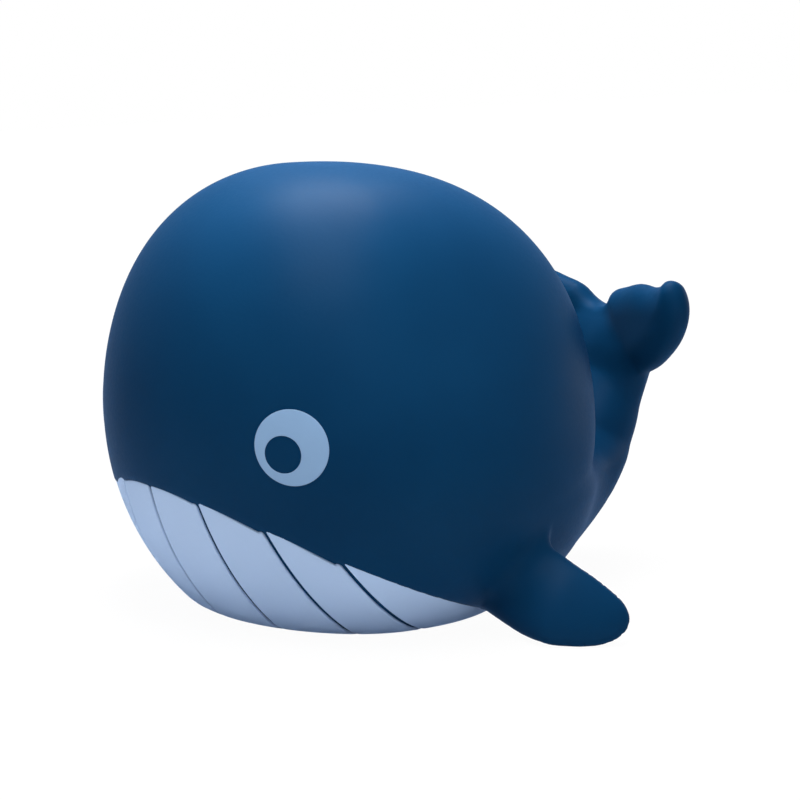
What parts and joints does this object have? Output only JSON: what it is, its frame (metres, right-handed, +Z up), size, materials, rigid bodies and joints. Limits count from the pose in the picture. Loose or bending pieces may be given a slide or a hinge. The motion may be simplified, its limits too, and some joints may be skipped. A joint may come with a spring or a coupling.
{
  "type": "squeaky bath toy",
  "caption": "Squeezable bath whale: round hollow body, grooved pale belly, printed eyes, side flippers, raised flukes, and a squeaker plugged into its flat base.",
  "frame": {"origin": "middle of the bounding box seen from above, on the flat base", "axes": "+X towards the nose, +Y towards the whale's left side, +Z up"},
  "size_m": [0.1022, 0.1028, 0.0744],
  "materials": {
    "navy_vinyl": "satin soft vinyl",
    "belly_paint": "satin flexible paint",
    "eye_paint": "satin pad-printed ink",
    "plug_plastic": "matte soft plastic",
    "whistle_plastic": "glossy hard plastic",
    "reed_brass": "rolled strip"
  },
  "bodies": {
    "whale": {"body_shell": "navy_vinyl", "belly_panels": "belly_paint", "left_eye_print": "eye_paint", "right_eye_print": "eye_paint", "squeaker_plug": "plug_plastic", "whistle_trough": "whistle_plastic", "whistle_wedge": "whistle_plastic", "reed_root": "reed_brass"},
    "reed": {"reed_tongue": "reed_brass"}
  },
  "joints": [
    {"name": "reed_flex", "type": "hinge", "parent": "whale", "child": "reed", "pos_m": [0.01123, 0, 0.008], "axis": [0, -1, 0], "range_deg": [-1.8, 4], "stiffness_Nm_per_rad": 0.0001}
  ]
}
